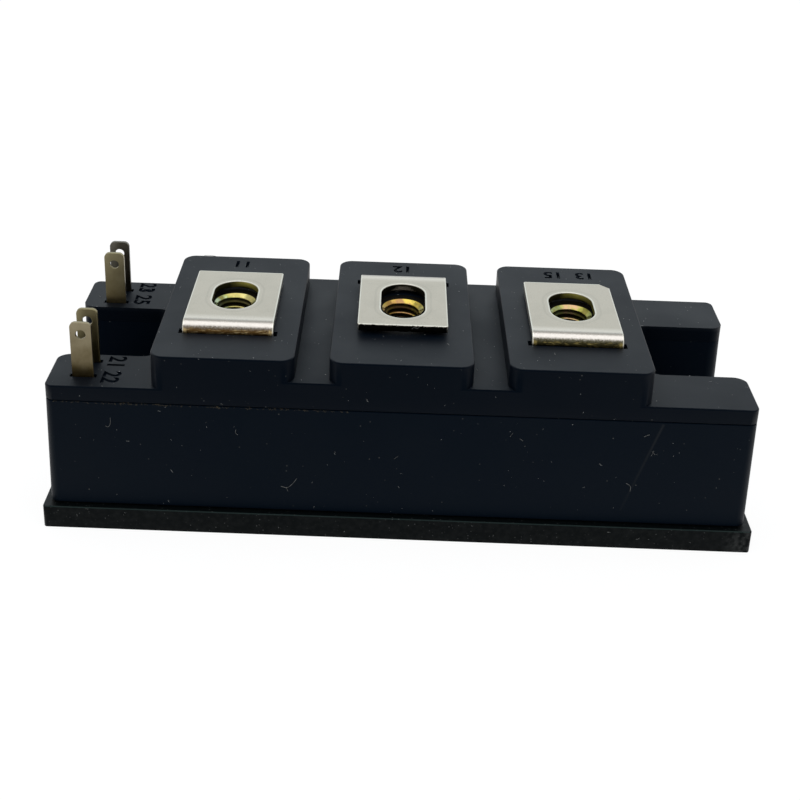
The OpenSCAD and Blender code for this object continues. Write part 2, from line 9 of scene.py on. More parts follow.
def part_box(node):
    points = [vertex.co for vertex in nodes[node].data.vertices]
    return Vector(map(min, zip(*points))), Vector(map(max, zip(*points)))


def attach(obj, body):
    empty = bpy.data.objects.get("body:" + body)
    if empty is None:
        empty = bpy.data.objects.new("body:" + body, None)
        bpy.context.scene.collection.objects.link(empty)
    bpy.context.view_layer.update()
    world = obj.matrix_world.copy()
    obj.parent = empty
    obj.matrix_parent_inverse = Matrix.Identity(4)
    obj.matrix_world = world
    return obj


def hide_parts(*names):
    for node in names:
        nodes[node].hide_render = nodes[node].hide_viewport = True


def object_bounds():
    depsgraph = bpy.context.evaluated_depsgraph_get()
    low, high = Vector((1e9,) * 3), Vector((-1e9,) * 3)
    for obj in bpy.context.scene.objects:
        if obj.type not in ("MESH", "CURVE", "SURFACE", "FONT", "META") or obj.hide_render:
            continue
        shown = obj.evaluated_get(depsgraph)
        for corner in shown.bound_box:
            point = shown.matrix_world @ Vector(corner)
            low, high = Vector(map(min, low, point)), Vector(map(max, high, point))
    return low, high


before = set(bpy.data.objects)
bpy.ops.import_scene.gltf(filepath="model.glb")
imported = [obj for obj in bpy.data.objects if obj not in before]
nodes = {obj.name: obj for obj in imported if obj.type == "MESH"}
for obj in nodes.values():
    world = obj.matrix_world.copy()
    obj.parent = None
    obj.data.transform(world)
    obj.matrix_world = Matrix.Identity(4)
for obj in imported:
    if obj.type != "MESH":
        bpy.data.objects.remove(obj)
cad_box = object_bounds()


# Base plate: a flat copper plate with a dull, nearly black passivated skin.
# It was sheared to size, drilled at both ends and has gathered pale dust along its edges.

MM = 0.001


def linear(hex_colour):
    """An sRGB hex colour such as "#3b4046" as a linear RGBA tuple."""
    parts = [int(hex_colour[i:i + 2], 16) / 255 for i in (1, 3, 5)]
    return tuple(c / 12.92 if c <= 0.04045 else ((c + 0.055) / 1.055) ** 2.4 for c in parts) + (1.0,)


def add(tree, kind, inputs=None, **settings):
    """A new node of that kind. inputs gives each socket its value, or the output that is linked to it."""
    made = tree.nodes.new(kind)
    for name, value in settings.items():
        setattr(made, name, value)
    for socket, source in (inputs or {}).items():
        if isinstance(source, bpy.types.NodeSocket):
            tree.links.new(source, made.inputs[socket])
        else:
            made.inputs[socket].default_value = source
    return made


def surface(tree, shader, colour, rough, bump=None):
    """Links a colour, a roughness and, where there is one, a bump to a material's shader."""
    tree.links.new(colour, shader.inputs["Base Color"])
    tree.links.new(rough, shader.inputs["Roughness"])
    if bump:
        tree.links.new(bump, shader.inputs["Normal"])


def finish(name, **sockets):
    """A new material of that name, its node tree and its shader with those constants on its sockets."""
    made = bpy.data.materials.new(name)
    made.use_nodes = True
    shader = made.node_tree.nodes["Principled BSDF"]
    for socket, value in sockets.items():
        shader.inputs[socket.replace("_", " ")].default_value = value
    return made, made.node_tree, shader


def placed(name, mesh):
    """A new object of that name in the scene, with its place in its mesh."""
    made = bpy.data.objects.new(name, mesh)
    bpy.context.scene.collection.objects.link(made)
    return made


def plain_mesh(name, form):
    """A new mesh of that name from a bmesh, which is then freed."""
    mesh = bpy.data.meshes.new(name)
    form.to_mesh(mesh)
    form.free()
    return mesh


def settled(piece):
    """What an object's modifiers or its curve give, as a plain mesh."""
    bpy.context.view_layer.update()
    return bpy.data.meshes.new_from_object(piece.evaluated_get(bpy.context.evaluated_depsgraph_get()))


def apply_modifiers(piece):
    """Makes what a piece's modifiers give its own mesh, and removes them."""
    result = settled(piece)
    piece.modifiers.clear()
    piece.data = result


def smooth(mesh):
    """Smooth shading that breaks where two faces meet at more than a gentle curve's angle."""
    mesh.shade_smooth()
    mesh.set_sharp_from_angle(angle=math.radians(35))


def even_shading(piece):
    """Smooth shading that breaks at sharp edges and leaves the flat faces flat."""
    smooth(piece.data)
    even = piece.modifiers.new("even_shading", "WEIGHTED_NORMAL")
    even.keep_sharp = True
    apply_modifiers(piece)


def softened(name, node, edge, level=None):
    """A copy of a CAD node as one closed mesh. Its sharp outer edges, or those at one level, are rounded."""
    weld, near = 0.0005 * MM, 0.01 * MM
    same_plane, corner = math.radians(0.5), math.radians(50)
    form = bmesh.new()
    form.from_mesh(nodes[node].data)
    bmesh.ops.remove_doubles(form, verts=form.verts, dist=weld)
    bmesh.ops.dissolve_limit(form, angle_limit=same_plane, verts=form.verts, edges=form.edges)
    sharp = [e for e in form.edges if e.is_manifold and e.calc_face_angle_signed() > corner]
    if level is not None:
        sharp = [e for e in sharp if all(abs(end.co.z - level) < near for end in e.verts)]
    bmesh.ops.bevel(form, geom=sharp, offset=edge, segments=2, profile=0.5, affect="EDGES",
                    clamp_overlap=True)
    made = placed(name, plain_mesh(name, form))
    even_shading(made)
    return made


def stand_in(piece, node, material):
    """Lets a finished piece stand for a CAD node, with its material, fixed to the root body; the node is
    hidden.
    """
    piece.data.materials.clear()
    piece.data.materials.append(material)
    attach(piece, "root")
    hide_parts(node)


def passivated_plate():
    """Copper with a dull black skin, painted paler on its upper rim as a highlight. Dust clings to the
    sheared edges.
    """
    skin, painted_light_and_wear, dust = linear("#050809"), linear("#212b2a"), linear("#7b7d7c")
    mottle, drift, speck_gap, speck = 0.7 * MM, 7 * MM, 0.42 * MM, 0.08 * MM
    pale_from, pale_to, bevel = 43 * MM, 46 * MM, 0.12 * MM
    thin_film, end_film, palest_grit, sparse = 0.024, 0.2, 0.6, 0.25
    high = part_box("base_plate")[1]
    made, tree, shader = finish("passivated_plate", IOR=1.4, Specular_Tint=linear("#34393b"))
    place = add(tree, "ShaderNodeTexCoord").outputs["Object"]
    clouds = add(tree, "ShaderNodeTexNoise", {"Vector": place, "Scale": 1 / mottle, "Detail": 5.0})
    crumbs = add(tree, "ShaderNodeTexVoronoi", {"Vector": place, "Scale": 1 / speck_gap})
    axes = add(tree, "ShaderNodeSeparateXYZ", {0: place}).outputs
    # How far a point lies inside the sheared outline, as a negative number
    across = add(tree, "ShaderNodeMath", {0: axes["X"]}, operation="ABSOLUTE")
    across = add(tree, "ShaderNodeMath", {0: across.outputs[0], 1: high.x}, operation="SUBTRACT")
    along = add(tree, "ShaderNodeMath", {0: axes["Y"]}, operation="ABSOLUTE")
    along = add(tree, "ShaderNodeMath", {0: along.outputs[0], 1: high.y}, operation="SUBTRACT")
    inside = add(tree, "ShaderNodeMath", {0: across.outputs[0], 1: along.outputs[0]}, operation="MAXIMUM")
    edge = add(tree, "ShaderNodeMath", {0: inside.outputs[0], 1: -bevel / 4}, operation="GREATER_THAN")
    # Dust lies on the edges in clouds, which are thickest at the right end of the front
    end = add(tree, "ShaderNodeMapRange", {0: axes["X"], 1: pale_from, 2: pale_to, 3: 0.0, 4: end_film})
    front = add(tree, "ShaderNodeMath", {0: axes["Y"], 1: 0.0}, operation="LESS_THAN")
    end = add(tree, "ShaderNodeMath", {0: end.outputs[0], 1: front.outputs[0]}, operation="MULTIPLY")
    thick = add(tree, "ShaderNodeMath", {0: end.outputs[0], 1: thin_film}, operation="ADD")
    thick = add(tree, "ShaderNodeMath", {0: thick.outputs[0], 1: edge.outputs[0]}, operation="MULTIPLY")
    film = add(tree, "ShaderNodeMapRange", {0: clouds.outputs[0], 1: 0.4, 2: 0.75})
    film = add(tree, "ShaderNodeMath", {0: film.outputs[0], 1: thick.outputs[0]}, operation="MULTIPLY")
    size = speck / speck_gap
    grit = add(tree, "ShaderNodeMapRange", {0: crumbs.outputs["Distance"], 1: size, 2: 0.5 * size})
    faint = add(tree, "ShaderNodeSeparateColor", {0: crumbs.outputs["Color"]}).outputs["Red"]
    faint = add(tree, "ShaderNodeMapRange", {0: faint, 1: 0.4, 2: 1.0, 3: 0.0, 4: palest_grit})
    drifts = add(tree, "ShaderNodeTexNoise", {"Vector": place, "Scale": 1 / drift, "Detail": 2.0})
    drifts = add(tree, "ShaderNodeMapRange", {0: drifts.outputs[0], 1: 0.4, 2: 0.6, 3: sparse, 4: 1.0})
    faint = add(tree, "ShaderNodeMath", {0: faint.outputs[0], 1: drifts.outputs[0]}, operation="MULTIPLY")
    grit = add(tree, "ShaderNodeMath", {0: grit.outputs[0], 1: faint.outputs[0]}, operation="MULTIPLY")
    total = add(tree, "ShaderNodeMath", {0: film.outputs[0], 1: grit.outputs[0]}, operation="ADD")
    # Painted highlight: the rounded rim, where the top meets the edge, is painted paler
    rise = add(tree, "ShaderNodeMath", {0: axes["Z"], 1: high.z}, operation="SUBTRACT")
    rim = add(tree, "ShaderNodeMath", {0: inside.outputs[0], 1: rise.outputs[0]}, operation="ADD")
    rim = add(tree, "ShaderNodeMath", {0: rim.outputs[0], 1: -0.97 * bevel}, operation="GREATER_THAN")
    colour = add(tree, "ShaderNodeMix", {0: rim.outputs[0], 6: skin, 7: painted_light_and_wear}, data_type="RGBA")
    colour = add(tree, "ShaderNodeMix", {0: total.outputs[0], 6: colour.outputs[2], 7: dust},
                 data_type="RGBA")
    rough = add(tree, "ShaderNodeMapRange", {0: clouds.outputs[0], 3: 0.3, 4: 0.55})
    bump = add(tree, "ShaderNodeBump", {"Strength": 0.4, "Distance": 0.03 * MM, "Height": clouds.outputs[0]})
    surface(tree, shader, colour.outputs[2], rough.outputs[0], bump.outputs[0])
    return made


base = softened("base_plate_sheared", "base_plate", 0.12 * MM)
stand_in(base, "base_plate", passivated_plate())


# Adhesive bead: black silicone pressed out between the base and the case.
# It is set back from the wall, so only a dark line shows of it.

def mottled(name, dark, light, grain, rough, metallic=0.0, **sockets):
    """A plain material whose colour and roughness vary over patches of the grain size in millimetres."""
    spread = 0.06
    made, tree, shader = finish(name, Metallic=metallic, **sockets)
    place = add(tree, "ShaderNodeTexCoord").outputs["Object"]
    patch = add(tree, "ShaderNodeTexNoise", {"Vector": place, "Scale": 1 / (grain * MM), "Detail": 3.0})
    blend = add(tree, "ShaderNodeMapRange", {0: patch.outputs[0], 1: 0.35, 2: 0.65})
    colour = add(tree, "ShaderNodeMix", {0: blend.outputs[0], 6: linear(dark), 7: linear(light)},
                 data_type="RGBA")
    gloss = add(tree, "ShaderNodeMapRange", {0: blend.outputs[0], 3: rough - spread, 4: rough + spread})
    surface(tree, shader, colour.outputs[2], gloss.outputs[0])
    return made


def dress(names, material):
    """Gives the CAD nodes of those names one material."""
    for name in names:
        nodes[name].data.materials.clear()
        nodes[name].data.materials.append(material)


dress(["frame_bond"], mottled("black_silicone", "#050607", "#0b0c0d", 0.8, 0.75))


# Circuit inside the case: two soldered ceramic substrates with etched copper, chips, bond wires and a link.
# The gel and the resin are poured over them, so none of this shows on the closed module.

dress(["solder_left", "solder_right"], mottled("tin_lead_solder", "#8b8e92", "#a3a6a9", 1.2, 0.4, 1.0))
dress(["substrate_left", "substrate_right"], mottled("alumina", "#e2dfd6", "#efede6", 0.6, 0.6))
dress(["copper_left", "copper_right", "link_strap"],
      mottled("etched_copper", "#b06f45", "#c98a5c", 0.9, 0.35, 1.0))
dress(["transistor_left", "transistor_right", "diode_left", "diode_right"],
      mottled("metallised_silicon", "#5b6168", "#767c84", 0.5, 0.3, 1.0))
dress(["wires_left", "wires_right"], mottled("bond_aluminium", "#c9cbcd", "#dcdedf", 0.3, 0.3, 1.0))
dress(["gel_fill"], mottled("silicone_gel", "#b9c2c6", "#ccd4d7", 4.0, 0.15))
dress(["resin_seal"], mottled("epoxy_resin", "#17191c", "#212427", 3.0, 0.35))


# Case frame: walls moulded in black PBT, with a fine spark-eroded grain from the mould.
# Nearly black when faced squarely, slate grey where it mirrors a bright room at a low angle.

def moulded_pbt(name, body, rub=None):
    """Black satin plastic with a navy cast and dust, and painted shade in the screw notches. rub gives the
    ends of a line rubbed into the front.
    """
    # The grain is drawn some four times as coarse as the mould's, so that it shows
    dust, grain, smudge = linear("#8d8c86"), 0.16 * MM, 9 * MM
    speck_gap, speck = 1.2 * MM, 0.1 * MM
    thickest_film, palest_grit, palest_rub = 0.003, 0.3, 0.04
    notch_x, notch_y, notch_z = 31 * MM, 7.5 * MM, 20.4 * MM
    fade_y, fade_z, sheen_open, notch_shade_level = 0.8 * MM, 0.4 * MM, 0.5, 0.1
    made, tree, shader = finish(name, IOR=1.57, Specular_Tint=linear("#232d38"))
    place = add(tree, "ShaderNodeTexCoord").outputs["Object"]
    axes = add(tree, "ShaderNodeSeparateXYZ", {0: place}).outputs
    smudges = add(tree, "ShaderNodeTexNoise", {"Vector": place, "Scale": 1 / smudge, "Detail": 4.0})
    crumbs = add(tree, "ShaderNodeTexVoronoi", {"Vector": place, "Scale": 1 / speck_gap})
    film = add(tree, "ShaderNodeMapRange", {
        0: smudges.outputs[0], 1: 0.45, 2: 0.75, 3: 0.0, 4: thickest_film})
    size = speck / speck_gap
    grit = add(tree, "ShaderNodeMapRange", {0: crumbs.outputs["Distance"], 1: size, 2: 0.5 * size})
    faint = add(tree, "ShaderNodeSeparateColor", {0: crumbs.outputs["Color"]}).outputs["Red"]
    faint = add(tree, "ShaderNodeMapRange", {0: faint, 1: 0.4, 2: 1.0, 3: 0.0, 4: palest_grit})
    grit = add(tree, "ShaderNodeMath", {0: grit.outputs[0], 1: faint.outputs[0]}, operation="MULTIPLY")
    total = add(tree, "ShaderNodeMath", {0: film.outputs[0], 1: grit.outputs[0]}, operation="ADD")
    if rub:
        # A straight line, faint and broken, as wide as a fingernail's edge
        start, end = [Vector((x, 0, z)) * MM for x, z in rub]
        way = (end - start).normalized()
        width, wall = 0.24 * MM, -15 * MM
        offset = add(tree, "ShaderNodeVectorMath", {0: place, 1: start}, operation="SUBTRACT").outputs[0]
        run = add(tree, "ShaderNodeVectorMath", {0: offset, 1: way}, operation="DOT_PRODUCT")
        run = run.outputs["Value"]
        sideways = Vector((-way.z, 0, way.x))
        aside = add(tree, "ShaderNodeVectorMath", {0: offset, 1: sideways}, operation="DOT_PRODUCT")
        aside = add(tree, "ShaderNodeMath", {0: aside.outputs["Value"]}, operation="ABSOLUTE")
        line = add(tree, "ShaderNodeMapRange", {0: aside.outputs[0], 1: width, 2: 0.0, 3: 0.0, 4: palest_rub})
        length = (end - start).length
        within = add(tree, "ShaderNodeMath", {0: run, 1: length / 2, 2: length / 2}, operation="COMPARE")
        line = add(tree, "ShaderNodeMath", {0: line.outputs[0], 1: within.outputs[0]}, operation="MULTIPLY")
        fade = add(tree, "ShaderNodeMapRange", {0: run, 1: 0.0, 2: length, 3: 1.0, 4: 0.25})
        line = add(tree, "ShaderNodeMath", {0: line.outputs[0], 1: fade.outputs[0]}, operation="MULTIPLY")
        front = add(tree, "ShaderNodeMath", {0: axes["Y"], 1: wall}, operation="LESS_THAN")
        line = add(tree, "ShaderNodeMath", {0: line.outputs[0], 1: front.outputs[0]}, operation="MULTIPLY")
        total = add(tree, "ShaderNodeMath", {0: total.outputs[0], 1: line.outputs[0]}, operation="ADD")
    colour = add(tree, "ShaderNodeMix", {0: total.outputs[0], 6: linear(body), 7: dust}, data_type="RGBA")
    rough = add(tree, "ShaderNodeMapRange", {0: smudges.outputs[0], 1: 0.3, 2: 0.7, 3: 0.5, 4: 0.58})
    pits = add(tree, "ShaderNodeTexNoise", {"Vector": place, "Scale": 1 / grain, "Detail": 2.0})
    bump = add(tree, "ShaderNodeBump", {"Strength": 0.12, "Distance": 0.01 * MM, "Height": pits.outputs[0]})
    # Painted shade: within the screw notches the specular level is lowered, which darkens their walls
    end = add(tree, "ShaderNodeMath", {0: axes["X"]}, operation="ABSOLUTE")
    end = add(tree, "ShaderNodeMath", {0: end.outputs[0], 1: notch_x}, operation="GREATER_THAN")
    half = add(tree, "ShaderNodeMath", {0: axes["Y"]}, operation="ABSOLUTE")
    half = add(tree, "ShaderNodeMapRange", {0: half.outputs[0], 1: notch_y + fade_y, 2: notch_y})
    under = add(tree, "ShaderNodeMapRange", {0: axes["Z"], 1: notch_z + fade_z, 2: notch_z})
    notch_shade = add(tree, "ShaderNodeMath", {0: end.outputs[0], 1: half.outputs[0]}, operation="MULTIPLY")
    notch_shade = add(tree, "ShaderNodeMath", {0: notch_shade.outputs[0], 1: under.outputs[0]}, operation="MULTIPLY")
    shaded_specular = add(tree, "ShaderNodeMapRange", {0: notch_shade.outputs[0], 3: sheen_open, 4: notch_shade_level})
    tree.links.new(shaded_specular.outputs[0], shader.inputs["Specular IOR Level"])
    surface(tree, shader, colour.outputs[2], rough.outputs[0], bump.outputs[0])
    return made


rub_line = ((33.84, 18.56), (29.49, 5.4))
case = softened("case_frame_moulded", "case_frame", 0.1 * MM)
stand_in(case, "case_frame", moulded_pbt("moulded_pbt_case", "#030a13", rub_line))


# Nuts: hexagon nuts of yellow passivated steel, dropped loose into the pockets of the lid.
# Each is countersunk at both faces and has a real M5 thread, which shows through the terminal's slot.

def hexagon_nut(name, low, high):
    """A nut that fills the box from low to high, with a thread cut into its bore, as one closed mesh."""
    pitch, crest_d, root_d = 0.8 * MM, 4.2 * MM, 5.0 * MM
    mouth_d, mouth_h = 5.8 * MM, 0.6 * MM
    turns, steps, blend = 96, 80, 40
    flats = high.y - low.y
    middle = (low + high) / 2

    def corner(angle):
        return flats / 2 / math.cos(angle % (math.pi / 3) - math.pi / 6)

    def ease(angle):
        return (corner(angle) - flats / 2) * math.tan(math.pi / 6)

    def bore(angle, z):
        wave = 0.5 - 0.5 * math.cos(2 * math.pi * z / pitch - angle)
        thread = crest_d / 2 + (root_d - crest_d) / 2 * wave
        mouth = mouth_d / 2 - min(z - low.z, high.z - z) * (mouth_d - crest_d) / 2 / mouth_h
        return thread * (1 + (mouth / thread) ** blend) ** (1 / blend)

    rings = [
        (lambda a: flats / 2, lambda a: high.z),
        (corner, lambda a: high.z - ease(a)),
        (corner, lambda a: low.z + ease(a)),
        (lambda a: flats / 2, lambda a: low.z),
    ]
    for step in range(steps + 1):
        level = low.z + (high.z - low.z) * step / steps
        rings.append((lambda a, z=level: bore(a, z), lambda a, z=level: z))
    form = bmesh.new()
    grid = []
    for radius, height in rings:
        ring = []
        for a in [2 * math.pi * i / turns for i in range(turns)]:
            x = middle.x + radius(a) * math.cos(a)
            y = middle.y + radius(a) * math.sin(a)
            ring.append(form.verts.new((x, y, height(a))))
        grid.append(ring)
    for i, ring in enumerate(grid):
        after = grid[(i + 1) % len(grid)]
        for j in range(turns):
            k = (j + 1) % turns
            form.faces.new((ring[j], after[j], after[k], ring[k]))
    bmesh.ops.recalc_face_normals(form, faces=form.faces)
    mesh = plain_mesh(name, form)
    smooth(mesh)
    return placed(name, mesh)


def yellow_zinc(name, node, film_tints):
    """Zinc plate under a chromate film whose tints change from left to right. Painted shade darkens the top
    face and the thread.
    """
    thread_shade = linear("#0a0806")
    crest_r, root_r, mouth_r, mouth_h = 2.16 * MM, 2.3 * MM, 2.9 * MM, 0.6 * MM
    drift, scuff, first_turn, turn_fade = 0.8 * MM, 0.3 * MM, 1.5 * MM, 0.3 * MM
    face_from, face_full = 0.06 * MM, 0.02 * MM
    wander, root_shade, upper_shade, shaded_roughness = 0.2, 0.93, 0.8, 0.8
    low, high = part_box(node)
    made, tree, shader = finish(name, Metallic=1.0)
    place = add(tree, "ShaderNodeTexCoord").outputs["Object"]
    own = add(tree, "ShaderNodeMapping", {"Vector": place, "Location": (-(low.x + high.x) / 2, 0.0, -high.z)})
    axes = add(tree, "ShaderNodeSeparateXYZ", {0: own.outputs[0]})
    drifts = add(tree, "ShaderNodeTexNoise", {"Vector": place, "Scale": 1 / drift, "Detail": 2.0})
    marks = add(tree, "ShaderNodeTexNoise", {"Vector": place, "Scale": 1 / scuff, "Detail": 2.0})
    across = add(tree, "ShaderNodeMapRange", {0: axes.outputs["X"], 1: -mouth_r, 2: mouth_r})
    shifted = add(tree, "ShaderNodeMapRange", {
        0: drifts.outputs[0], 1: 0.3, 2: 0.7, 3: -wander, 4: wander})
    across = add(tree, "ShaderNodeMath", {0: across.outputs[0], 1: shifted.outputs[0]}, operation="ADD")
    film = add(tree, "ShaderNodeValToRGB", {0: across.outputs[0]})
    stops = film.color_ramp.elements
    stops[0].color = linear(film_tints[0])
    stops[1].color = linear(film_tints[-1])
    for i, tint in enumerate(film_tints[1:-1], 1):
        stops.new(i / (len(film_tints) - 1)).color = linear(tint)
    # Painted shade, dark and matt: in the roots of the thread, all over its first turns below the countersink
    # and on the top face, while the lower crests stay bright
    flat = add(tree, "ShaderNodeCombineXYZ", {"X": axes.outputs["X"], "Y": axes.outputs["Y"]})
    reach = add(tree, "ShaderNodeVectorMath", {0: flat.outputs[0]}, operation="LENGTH")
    root = add(tree, "ShaderNodeMapRange", {
        0: reach.outputs["Value"], 1: crest_r, 2: root_r, 3: 0.0, 4: root_shade})
    turn = add(tree, "ShaderNodeMapRange", {
        0: axes.outputs["Z"], 1: -first_turn, 2: -first_turn + turn_fade, 3: 0.0, 4: upper_shade})
    root = add(tree, "ShaderNodeMath", {0: root.outputs[0], 1: turn.outputs[0]}, operation="MAXIMUM")
    within = add(tree, "ShaderNodeMapRange", {0: axes.outputs["Z"], 1: -0.85 * mouth_h, 2: -mouth_h})
    shaded = add(tree, "ShaderNodeMath", {0: root.outputs[0], 1: within.outputs[0]}, operation="MULTIPLY")
    face = add(tree, "ShaderNodeMapRange", {0: axes.outputs["Z"], 1: -face_from, 2: -face_full})
    shaded = add(tree, "ShaderNodeMath", {0: shaded.outputs[0], 1: face.outputs[0]}, operation="MAXIMUM")
    colour = add(tree, "ShaderNodeMix", {0: shaded.outputs[0], 6: film.outputs[0], 7: thread_shade},
                 data_type="RGBA")
    rough = add(tree, "ShaderNodeMapRange", {0: marks.outputs[0], 1: 0.3, 2: 0.7, 3: 0.1, 4: 0.22})
    rough = add(tree, "ShaderNodeMix", {0: shaded.outputs[0], 2: rough.outputs[0], 3: shaded_roughness})
    bump = add(tree, "ShaderNodeBump", {"Strength": 0.4, "Distance": 0.02 * MM, "Height": marks.outputs[0]})
    surface(tree, shader, colour.outputs[2], rough.outputs[0], bump.outputs[0])
    return made


for side, *film_tints in (
    ("left", "#98a283", "#7f8045", "#a09258", "#b0a56c", "#6c6c36"),
    ("middle", "#a08c40", "#94743f", "#866446", "#b39d48", "#7a7138"),
    ("right", "#94a078", "#858748", "#a58465", "#8a8442", "#66682f"),
):
    nut = hexagon_nut(f"nut_{side}_threaded", *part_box(f"nut_{side}"))
    stand_in(nut, f"nut_{side}", yellow_zinc(f"yellow_zinc_{side}", f"nut_{side}", film_tints))


# Main terminals: copper sheet, stamped, nickel plated and folded down over the nuts.
# Satin and warm grey on top, with a painted highlight round the screw slot, worn to bronze and painted darker
# as shade on the leg below the fold.

def nickel_plate(name, node, slot_l, folds_front, shaded_turn, worn_shaded_leg, leg_end, lit_wall):
    """Satin nickel with painted highlights round the slot and the edges, and painted reflections along the
    fold. The leg is worn and painted dark, and the underside, the sheared end and the slot's wall carry
    painted shade.
    """
    # The satin grain is drawn coarser than the real one, so that it shows
    nickel, painted_highlight, stain_and_shade = linear("#aaa295"), linear("#c9c6bb"), linear("#7d7a6f")
    painted_pale, painted_dim, highlight_silver = linear("#c0b8ad"), linear("#9d9992"), linear("#b4aea7")
    painted_dark, brassy = linear("#14130f"), linear(leg_end)
    slot_w, rim, ring, ring_w = 6.0 * MM, 0.14 * MM, 0.8 * MM, 0.15 * MM
    cloud, grain, streak, patch = 3.5 * MM, 0.2 * MM, 0.16 * MM, 1.1 * MM
    fold_from, leg_from, leg_below, leg_full = 6.6 * MM, 8.0 * MM, 0.7 * MM, 1.0 * MM
    strip_from, plate_end, sheet, glint = 5.3 * MM, 7.45 * MM, 1.0 * MM, 1.3 * MM
    wall_from, wall_full, wall_shade_from, wall_shade_full = 0.08 * MM, 0.14 * MM, 0.6 * MM, 0.95 * MM
    waver, glint_to, shade_from = 1.6 * MM, 0.8 * MM, 3.4 * MM
    ragged_by, plain_to, worn_fade, strip_fade = 0.14 * MM, 5.6 * MM, 0.1 * MM, 0.2 * MM
    edge_light_from, edge_light_full, end_shade_from, end_shade_full = 0.2 * MM, 0.1 * MM, 0.05 * MM, 0.12 * MM
    dullest, lip_share, trace_share, edge_light_share = 0.2, 0.8, 0.16, 0.9
    low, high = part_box(node)
    half_w = (high.x - low.x) / 2
    made, tree, shader = finish(name, Metallic=1.0)
    place = add(tree, "ShaderNodeTexCoord").outputs["Object"]
    own = add(tree, "ShaderNodeMapping", {"Vector": place, "Location": (-(low.x + high.x) / 2, 0.0, -high.z)})
    axes = add(tree, "ShaderNodeSeparateXYZ", {0: own.outputs[0]})
    clouds = add(tree, "ShaderNodeTexNoise", {"Vector": place, "Scale": 1 / cloud, "Detail": 5.0})
    grains = add(tree, "ShaderNodeTexNoise", {"Vector": place, "Scale": 1 / grain, "Detail": 2.0})
    dull = add(tree, "ShaderNodeMapRange", {0: clouds.outputs[0], 1: 0.45, 2: 0.8, 3: 0.0, 4: dullest})
    colour = add(tree, "ShaderNodeMix", {0: dull.outputs[0], 6: nickel, 7: stain_and_shade}, data_type="RGBA")
    # Distance from the rim of the slot, which has round ends
    past = add(tree, "ShaderNodeMath", {0: axes.outputs["Y"]}, operation="ABSOLUTE")
    past = add(tree, "ShaderNodeMath", {0: past.outputs[0], 1: (slot_l * MM - slot_w) / 2},
               operation="SUBTRACT")
    past = add(tree, "ShaderNodeMath", {0: past.outputs[0], 1: 0.0}, operation="MAXIMUM")
    flat = add(tree, "ShaderNodeCombineXYZ", {"X": axes.outputs["X"], "Y": past.outputs[0]})
    reach = add(tree, "ShaderNodeVectorMath", {0: flat.outputs[0]}, operation="LENGTH")
    clear = add(tree, "ShaderNodeMath", {0: reach.outputs["Value"], 1: slot_w / 2}, operation="SUBTRACT")
    # A painted highlight on the rim of the slot, and a faint ring of painted shade a little way out
    lip = add(tree, "ShaderNodeMapRange", {0: clear.outputs[0], 1: rim, 2: 2 * rim, 3: lip_share, 4: 0.0})
    colour = add(tree, "ShaderNodeMix", {0: lip.outputs[0], 6: colour.outputs[2], 7: painted_highlight},
                 data_type="RGBA")
    trace = add(tree, "ShaderNodeMath", {0: clear.outputs[0], 1: ring, 2: ring_w}, operation="COMPARE")
    faint = add(tree, "ShaderNodeMath", {0: trace.outputs[0], 1: trace_share}, operation="MULTIPLY")
    colour = add(tree, "ShaderNodeMix", {0: faint.outputs[0], 6: colour.outputs[2], 7: stain_and_shade},
                 data_type="RGBA")
    # Wall of the slot: painted shade, darker lower down and to the sides, but for one spot with a painted
    # glint
    deep = add(tree, "ShaderNodeMapRange", {0: axes.outputs["Z"], 1: -wall_from, 2: -wall_full})
    wall_shade = add(tree, "ShaderNodeMapRange", {0: axes.outputs["Z"], 1: -wall_shade_from, 2: -wall_shade_full})
    blotch = add(tree, "ShaderNodeTexNoise", {"Vector": place, "Scale": 1 / patch, "Detail": 3.0})
    aside = add(tree, "ShaderNodeMath", {0: axes.outputs["X"], 1: glint}, operation="SUBTRACT")
    aside = add(tree, "ShaderNodeMath", {0: aside.outputs[0]}, operation="ABSOLUTE")
    blotch = add(tree, "ShaderNodeMath", {0: blotch.outputs[0], 1: waver, 2: aside.outputs[0]},
                 operation="MULTIPLY_ADD")
    blotch = add(tree, "ShaderNodeMapRange", {
        0: blotch.outputs[0], 1: glint_to, 2: shade_from, 3: 0.0, 4: 0.95})
    wall_shade = add(tree, "ShaderNodeMath", {0: wall_shade.outputs[0], 1: blotch.outputs[0]}, operation="MAXIMUM")
    lining = add(tree, "ShaderNodeMix", {0: wall_shade.outputs[0], 6: linear(lit_wall), 7: painted_dark},
                 data_type="RGBA")
    inside = add(tree, "ShaderNodeMapRange", {0: clear.outputs[0], 1: 0.06 * MM, 2: 0.03 * MM})
    wall = add(tree, "ShaderNodeMath", {0: deep.outputs[0], 1: inside.outputs[0]}, operation="MULTIPLY")
    colour = add(tree, "ShaderNodeMix", {0: wall.outputs[0], 6: colour.outputs[2], 7: lining.outputs[2]},
                 data_type="RGBA")
